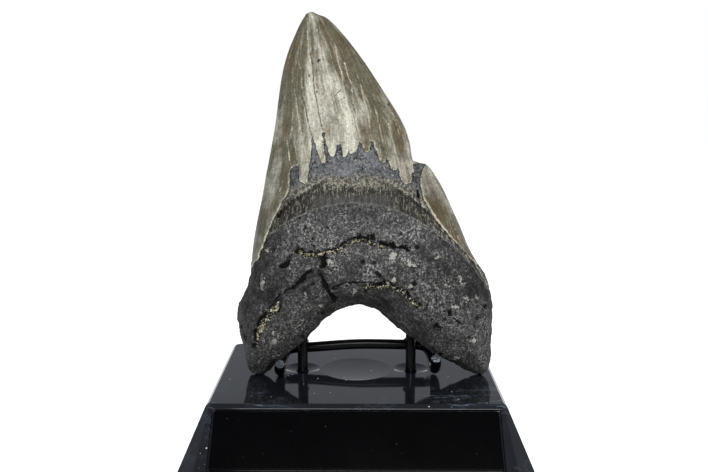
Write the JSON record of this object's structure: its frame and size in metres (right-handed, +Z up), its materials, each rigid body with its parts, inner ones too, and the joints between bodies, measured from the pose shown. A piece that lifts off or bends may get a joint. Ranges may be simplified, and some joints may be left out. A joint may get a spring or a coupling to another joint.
{
  "type": "megalodon tooth on stand",
  "caption": "Fossil shark tooth, triangular crown on a two-lobed root, leaning on a black wire easel on a gloss plinth with a sloping bare nameplate.",
  "frame": {"origin": "centre of the plinth's underside", "axes": "+Z up, the nameplate and the front of the tooth face -Y, +X to the right seen from the front"},
  "size_m": [0.1102, 0.093, 0.1461],
  "materials": {
    "fossil": "grey-olive enamel with pale streaks, satin gloss; dark grey pitted root, matt",
    "marbled_gloss_black": "polished black with faint blue-grey marbling",
    "plate_black": "polished near-black, faintly smudged",
    "rod_black": "gloss black coating"
  },
  "bodies": {
    "root": {"tooth": "fossil", "plinth": "marbled_gloss_black", "nameplate": "plate_black", "easel_hoop": "rod_black", "easel_hook_bar": "rod_black"}
  },
  "joints": []
}
